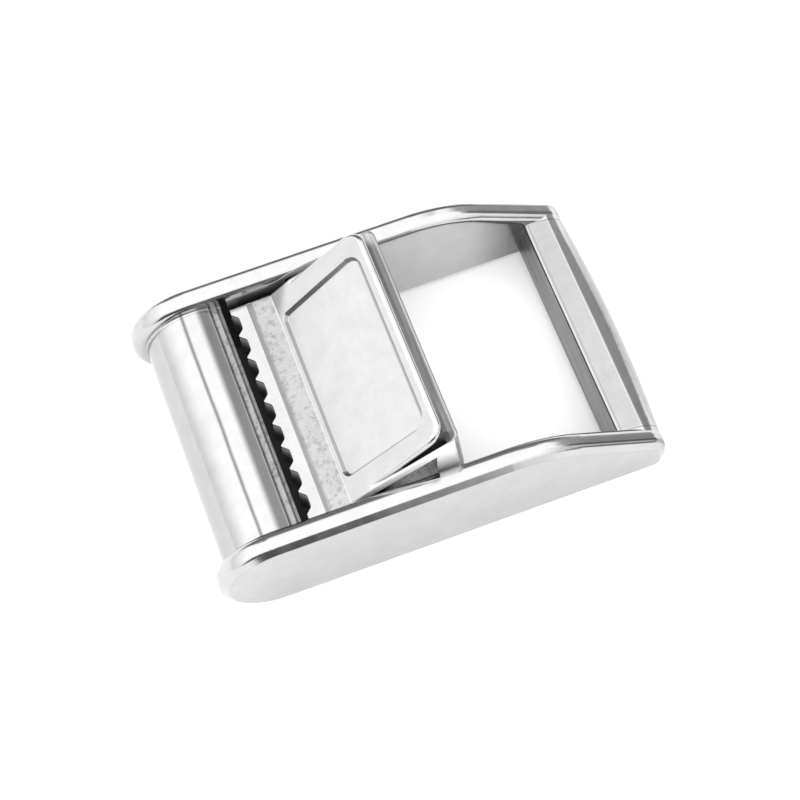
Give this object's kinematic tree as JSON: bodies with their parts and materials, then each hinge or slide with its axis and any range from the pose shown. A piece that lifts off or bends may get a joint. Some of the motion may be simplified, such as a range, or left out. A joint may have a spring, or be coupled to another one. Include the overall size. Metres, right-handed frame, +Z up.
{
  "type": "cam buckle",
  "caption": "Spring-loaded cam buckle for flat webbing: rounded metal frame with a front bar and a tail bar, and a toothed cam lever with a sunken thumb pad.",
  "frame": {"origin": "on the surface that the buckle rests on, under the middle of its length and width", "axes": "+X along the webbing from the front bar to the tail bar, +Y across the webbing, +Z up, away from the surface"},
  "size_m": [0.0488, 0.0312, 0.0192],
  "materials": {
    "polished_steel": "cast stainless steel, mirror polished, with fine buffing lines",
    "cast_steel": "cast stainless steel, polished on the pad's rims and satin in its panel, rough as cast behind the teeth",
    "pin_steel": "ground stainless steel pin"
  },
  "bodies": {
    "body_frame": {"frame": "polished_steel", "pivot_pin": "pin_steel"},
    "lever": {"cam_lever": "cast_steel"}
  },
  "joints": [
    {"name": "lever_hinge", "type": "hinge", "parent": "body_frame", "child": "lever", "pos_m": [-0.0023, 0, 0.0066], "axis": [0, 1, 0], "range_deg": [0, 50], "stiffness_Nm_per_rad": 0.06, "springref_deg": -40.11}
  ]
}
